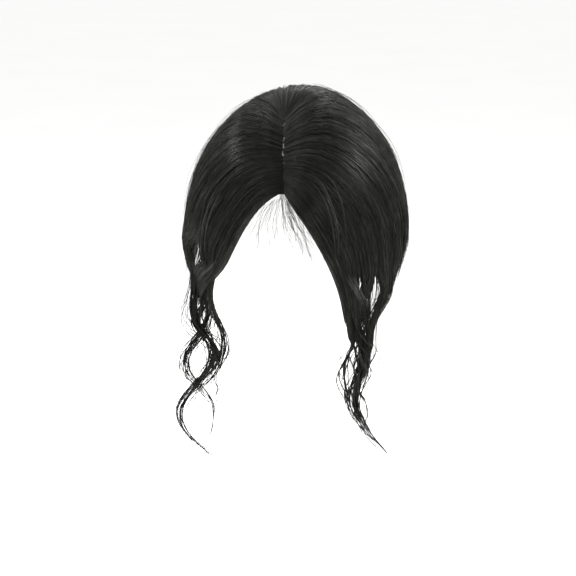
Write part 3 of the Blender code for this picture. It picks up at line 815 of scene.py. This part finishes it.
def hair_material(name, fineness, drift, shades, rough, specular, bump):
    """Near-black hair whose streaks follow the strands; the light streaks are partly random tone and partly
    painted highlight.
    """
    root, deep, light = shades
    look, tree, shader = start_material(name)
    along = attribute(tree, "along")
    streaks = place_group(tree, STREAKS, Across=attribute(tree, "tone"), Along=along,
                          Fineness=fineness, Drift=drift)
    tint = place_group(tree, TINT, Light_Share=streaks.outputs["Streak"], Along=along,
                       Root=root, Deep=deep, Light=light)
    tree.links.new(tint.outputs["Colour"], shader.inputs["Base Color"])
    near_root = maths(tree, "SUBTRACT", 1.0, maths(tree, "MULTIPLY", along, 4.5, clamp=True), clamp=True)
    dull = maths(tree, "ADD", maths(tree, "MULTIPLY", near_root, 0.30), rough)
    gloss = maths(tree, "ADD", maths(tree, "MULTIPLY", streaks.outputs["Streak"], -0.10), dull)
    tree.links.new(gloss, shader.inputs["Roughness"])
    shader.inputs["Specular IOR Level"].default_value = specular
    if bump:
        relief = tree.nodes.new("ShaderNodeBump")
        relief.inputs["Strength"].default_value = bump
        relief.inputs["Distance"].default_value = 0.0006
        tree.links.new(streaks.outputs["Height"], relief.inputs["Height"])
        tree.links.new(relief.outputs["Normal"], shader.inputs["Normal"])
    return look


def net_material(name, threads_colour, gap_colour, mesh_size, thread, rough, shade_from):
    """Net whose threads turn dark behind a place along Y: painted shade that stands for the shadow in the
    cleft at the back of the parting.
    """
    look, tree, shader = start_material(name)
    place = tree.nodes.new("ShaderNodeTexCoord").outputs["Object"]
    net = place_group(tree, NET, Position=place, Mesh_Size=mesh_size, Thread=thread)
    split = tree.nodes.new("ShaderNodeSeparateXYZ")
    tree.links.new(place, split.inputs[0])
    # Painted shade: past shade_from along Y the net takes its dark gap colour
    painted_shade = maths(tree, "MULTIPLY", maths(tree, "SUBTRACT", split.outputs[1], shade_from), 120.0, clamp=True)
    colour = mix_colours(tree, net.outputs["Threads"], gap_colour, threads_colour)
    tree.links.new(mix_colours(tree, painted_shade, colour, gap_colour), shader.inputs["Base Color"])
    relief = tree.nodes.new("ShaderNodeBump")
    relief.inputs["Strength"].default_value = 0.5
    relief.inputs["Distance"].default_value = 0.0003
    tree.links.new(net.outputs["Height"], relief.inputs["Height"])
    tree.links.new(relief.outputs["Normal"], shader.inputs["Normal"])
    shader.inputs["Roughness"].default_value = rough
    shader.inputs["Specular IOR Level"].default_value = 0.1
    return look


def clip_material():
    """Black satin coat, worn grey in small spots."""
    look, tree, shader = start_material("clip_black_coat")
    place = tree.nodes.new("ShaderNodeTexCoord").outputs["Object"]
    cloud = tree.nodes.new("ShaderNodeTexNoise")
    cloud.inputs["Scale"].default_value = 420.0
    cloud.inputs["Detail"].default_value = 5.0
    tree.links.new(place, cloud.inputs["Vector"])
    worn = maths(tree, "MULTIPLY", maths(tree, "SUBTRACT", cloud.outputs["Fac"], 0.58), 6.0, clamp=True)
    coat = mix_colours(tree, worn, (0.012, 0.012, 0.012, 1.0), (0.09, 0.088, 0.085, 1.0))
    tree.links.new(coat, shader.inputs["Base Color"])
    rough = maths(tree, "ADD", maths(tree, "MULTIPLY", worn, 0.2), 0.32)
    tree.links.new(rough, shader.inputs["Roughness"])
    shader.inputs["Metallic"].default_value = 0.4
    return look


STREAKS = make_strand_streaks()
TINT = make_hair_tint()
NET = make_knotted_net()

# Shades of hair: at its root, further down, and on its light streaks, which are partly random tone and partly
# painted highlight
STRAND_SHADES = ((0.0016, 0.0016, 0.0014, 1.0), (0.0042, 0.0043, 0.0036, 1.0), (0.046, 0.0465, 0.0395, 1.0))
UNDER_SHADES = ((0.0018, 0.0018, 0.0016, 1.0), (0.003, 0.0031, 0.0026, 1.0), (0.010, 0.0102, 0.0086, 1.0))
# The wisp shades are a lighter copy of the hair shades: painted sheen on loose single hairs
WISP_SHEEN_SHADES = ((0.015, 0.015, 0.014, 1.0), (0.05, 0.05, 0.047, 1.0), (0.13, 0.13, 0.125, 1.0))
BASE_THREADS = (0.06, 0.055, 0.05, 1.0)
BASE_GAPS = (0.015, 0.014, 0.013, 1.0)
STRIP_THREADS = (0.17, 0.16, 0.15, 1.0)
STRIP_GAPS = (0.012, 0.011, 0.010, 1.0)

strand_look = hair_material("hair_strands", 37.0, 5.0, STRAND_SHADES, 0.42, 0.14, 0.0)
under_look = hair_material("hair_under_layer", 620.0, 3.0, UNDER_SHADES, 0.55, 0.10, 0.6)
# Lighter copy of the hair look, a painted sheen for loose hairs
wisp_sheen_look = hair_material("hair_wisps_painted_sheen", 23.0, 4.0, WISP_SHEEN_SHADES, 0.5, 0.2, 0.0)
net_look = net_material("base_net_threads", BASE_THREADS, BASE_GAPS, 1500.0, 0.3, 0.8, 1.0)
# The parting net is painted dark behind Y = -0.044, a painted shadow for the deep cleft at the parting's back
# end; the base net's 1.0 lies beyond it, so it stays unshaded
strip_look = net_material("parting_net", STRIP_THREADS, STRIP_GAPS, 2200.0, 0.8, 0.7, -0.044)
clip_look = clip_material()

# Nodes that stay: the net base, the parting strip and the clips
KEPT = {"base_net": net_look, "parting_strip": strip_look}
for corner in ("front_left", "front_right", "back_left", "back_right"):
    KEPT["clip_" + corner] = clip_look
for node, look in KEPT.items():
    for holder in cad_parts[node].material_slots:
        holder.material = look

# Sheets of hair
SHEETS = {
    # guides, side, strands, clumps, share along the front hem, seed, flip
    "left": (LEFT_GUIDES, -1, 1500, 70, 0.09, 11, False),
    "right": (RIGHT_GUIDES, 1, 1600, 80, 0.08, 23, True),
    "back": (BACK_GUIDES, 1, 1000, 90, 0.0, 37, False),
}
STRAND_RADIUS = 0.00025
STRAND_POINTS = 19
STRAYS = 220
STRAY_RADIUS = 0.00012
STRAY_POINTS = 14
for label, (guides, side, count, clumps, hem_share, seed, flip) in SHEETS.items():
    node = label + "_hair"
    openings = OPENINGS.get(label, [])
    waists = WAISTS.get(label, [])
    paths, tones = comb_sheet(guides, side, count, STRAND_POINTS, clumps, openings, waists, hem_share, seed)
    radii = taper(count, STRAND_POINTS, STRAND_RADIUS, 0.5, 0.80, 0.16, np.random.default_rng(seed + 1))
    add_strands(label + "_strands", paths, radii, tones, strand_look, node)
    grids = under_layer_grids(guides, side, openings, waists)
    under_layer = under_layer_mesh(label + "_under_layer", grids, flip)
    add_piece(label + "_under_layer", under_layer, under_look, node)
    paths, tones = stray_strands(guides, side, STRAYS, STRAY_POINTS, seed + 2)
    radii = taper(STRAYS, STRAY_POINTS, STRAY_RADIUS, 0.5, 0.5, 0.3, np.random.default_rng(seed + 3))
    add_strands(label + "_strays", paths, radii, tones, strand_look, "")

# Light hairs that cross the sheets above the tendrils; their light wisp colour is painted sheen
CROSSINGS = {
    # hairs, place across and along at the start, place across and along at the end, width
    "left": [(9, 0.90, 0.66, 0.78, 0.84, 0.022), (7, 0.66, 0.34, 0.78, 0.74, 0.050)],
    "right": [(14, 0.86, 0.70, 0.735, 0.885, 0.030), (6, 0.76, 0.16, 0.93, 0.66, 0.035)],
}
CROSSING_RADIUS = 0.00015
CROSSING_POINTS = 16
CROSSING_SEED = 71
for label, rows in CROSSINGS.items():
    guides, side = SHEETS[label][:2]
    paths, tones = crossing_strands(guides, side, rows, CROSSING_POINTS, WAISTS[label], CROSSING_SEED)
    rng = np.random.default_rng(CROSSING_SEED + 1)
    radii = taper(len(paths), CROSSING_POINTS, CROSSING_RADIUS, 0.3, 0.5, 0.3, rng)
    add_strands(label + "_crossing_hairs", paths, radii, tones, wisp_sheen_look, "")

# Wisps of the tendrils
LEFT_PLAN = [
    # route, wisps, hairs in a wisp, place across the sheet, width there, spread, girth of a wisp, twist,
    # shortest, whether it crosses the openings
    ("outer", 12, 10, 0.64, 0.050, 1.35, 0.12, 0.5, 0.62, False),
    ("inner", 10, 9, 0.82, 0.055, 1.4, 0.12, -0.6, 0.62, False),
    ("lattice", 11, 7, 0.74, 0.060, 1.5, 0.11, 0.7, 0.60, False),
    ("joining", 6, 8, 0.94, 0.030, 1.6, 0.12, 0.4, 0.60, False),
    ("front", 4, 6, 0.98, 0.012, 1.6, 0.14, 0.4, 0.80, False),
    ("outer", 16, 2, 0.66, 0.050, 2.2, 0.20, 1.1, 0.55, False),
    ("inner", 14, 2, 0.80, 0.060, 2.4, 0.20, -1.2, 0.60, False),
    ("front", 9, 2, 0.96, 0.020, 2.4, 0.20, 0.9, 0.70, False),
    ("lattice", 9, 1, 0.69, 0.035, 1.2, 0.30, 0.6, 0.60, True),
    ("trailing", 4, 3, 0.62, 0.040, 0.9, 0.16, 0.5, 1.07, False),
]
RIGHT_PLAN = [
    ("outer", 15, 13, 0.66, 0.070, 1.1, 0.14, 0.4, 0.62, False),
    ("veil", 14, 11, 0.84, 0.070, 1.3, 0.14, 0.3, 0.60, False),
    ("front", 7, 8, 0.95, 0.025, 1.5, 0.14, -0.5, 0.72, False),
    ("loop", 6, 5, 0.62, 0.030, 1.6, 0.14, 0.4, 0.85, False),
    ("between", 10, 5, 0.88, 0.050, 1.4, 0.14, 0.5, 0.60, False),
    ("outer", 15, 2, 0.70, 0.080, 1.8, 0.20, 1.0, 0.55, False),
    ("front", 12, 2, 0.94, 0.030, 2.6, 0.20, -0.9, 0.55, False),
    ("outer", 12, 1, 0.69, 0.035, 1.2, 0.30, 0.6, 0.60, True),
]
TENDRILS = {
    # guides, side, routes, hang, plan, seed
    "left": (LEFT_GUIDES, -1, LEFT_TENDRILS, LEFT_HANG, LEFT_PLAN, 41),
    "right": (RIGHT_GUIDES, 1, RIGHT_TENDRILS, RIGHT_HANG, RIGHT_PLAN, 43),
}
for label, (guides, side, routes, hang, plan, seed) in TENDRILS.items():
    node = label + "_hair"
    openings = OPENINGS[label]
    waists = WAISTS[label]
    paths, radii, tones = tendril_strands(guides, side, routes, hang, plan, openings, waists, seed)
    add_strands(label + "_tendril_strands", paths, radii, tones, strand_look, node)

# Fine hairs along the hairline, in the light wisp colour that is painted sheen
BABY_RADIUS = 0.00009
BABY_POINTS = 24
BABY_SEED = 53
paths, tones = baby_hair_strands(BABY_HAIRS, BABY_POINTS, BABY_SEED)
radii = taper(len(paths), BABY_POINTS, BABY_RADIUS, 0.6, 0.6, 0.4, np.random.default_rng(BABY_SEED + 1))
add_strands("baby_hairs", paths, radii, tones, wisp_sheen_look, "")

# Floor, light and camera
FLOOR_LEVEL = -0.62
bpy.ops.mesh.primitive_plane_add(size=60.0, location=(0.0, 0.0, FLOOR_LEVEL))
floor = bpy.context.active_object
floor.name = "pale_floor"
floor_look, tree, shader = start_material("pale_floor_paint")
cloud = tree.nodes.new("ShaderNodeTexNoise")
cloud.inputs["Scale"].default_value = 3.0
tree.links.new(tree.nodes.new("ShaderNodeTexCoord").outputs["Object"], cloud.inputs["Vector"])
tree.links.new(mix_colours(tree, cloud.outputs["Fac"], (0.90, 0.90, 0.895, 1.0), (0.93, 0.93, 0.925, 1.0)),
               shader.inputs["Base Color"])
shader.inputs["Roughness"].default_value = 0.9
floor.data.materials.append(floor_look)

world = bpy.data.worlds.new("soft_studio")
world.use_nodes = True
world.node_tree.nodes["Background"].inputs["Color"].default_value = (1.0, 1.0, 1.0, 1.0)
world.node_tree.nodes["Background"].inputs["Strength"].default_value = 1.04
bpy.context.scene.world = world


def area_light(name, place, aim, size, power):
    lamp = bpy.data.lights.new(name, "AREA")
    lamp.shape = "DISK"
    lamp.size = size
    lamp.energy = power
    holder = bpy.data.objects.new(name, lamp)
    holder.location = place
    holder.rotation_euler = (Vector(aim) - Vector(place)).to_track_quat("-Z", "Y").to_euler()
    bpy.context.scene.collection.objects.link(holder)


LAMPS = {
    # place, size, power
    "right_softbox": ((1.45, 0.15, 0.85), 0.60, 42.0),
    "left_softbox": ((-1.25, 0.05, 1.15), 0.60, 38.0),
    "rear_softbox": ((0.10, 1.10, 1.25), 0.60, 34.0),
}
LAMP_AIM = (0.0, 0.0, -0.06)
for name, (place, size, power) in LAMPS.items():
    area_light(name, place, LAMP_AIM, size, power)

CAMERA_AZIMUTH = math.radians(6.0)
CAMERA_ELEVATION = math.radians(13.0)
CAMERA_DISTANCE = 1.69
CAMERA_AIM = Vector((-0.008, 0.0, -0.152))
back = Vector((math.sin(CAMERA_AZIMUTH) * math.cos(CAMERA_ELEVATION),
               -math.cos(CAMERA_AZIMUTH) * math.cos(CAMERA_ELEVATION), math.sin(CAMERA_ELEVATION)))
right = Vector((math.cos(CAMERA_AZIMUTH), math.sin(CAMERA_AZIMUTH), 0.0))
up = back.cross(right)
lens = bpy.data.cameras.new("camera")
lens.lens = 120.0
lens.sensor_width = 36.0
camera = bpy.data.objects.new("camera", lens)
turn = Matrix((right, up, back)).transposed().to_4x4()
camera.matrix_world = Matrix.Translation(CAMERA_AIM + back * CAMERA_DISTANCE) @ turn
bpy.context.scene.collection.objects.link(camera)
bpy.context.scene.camera = camera
bpy.context.scene.view_settings.view_transform = "Standard"
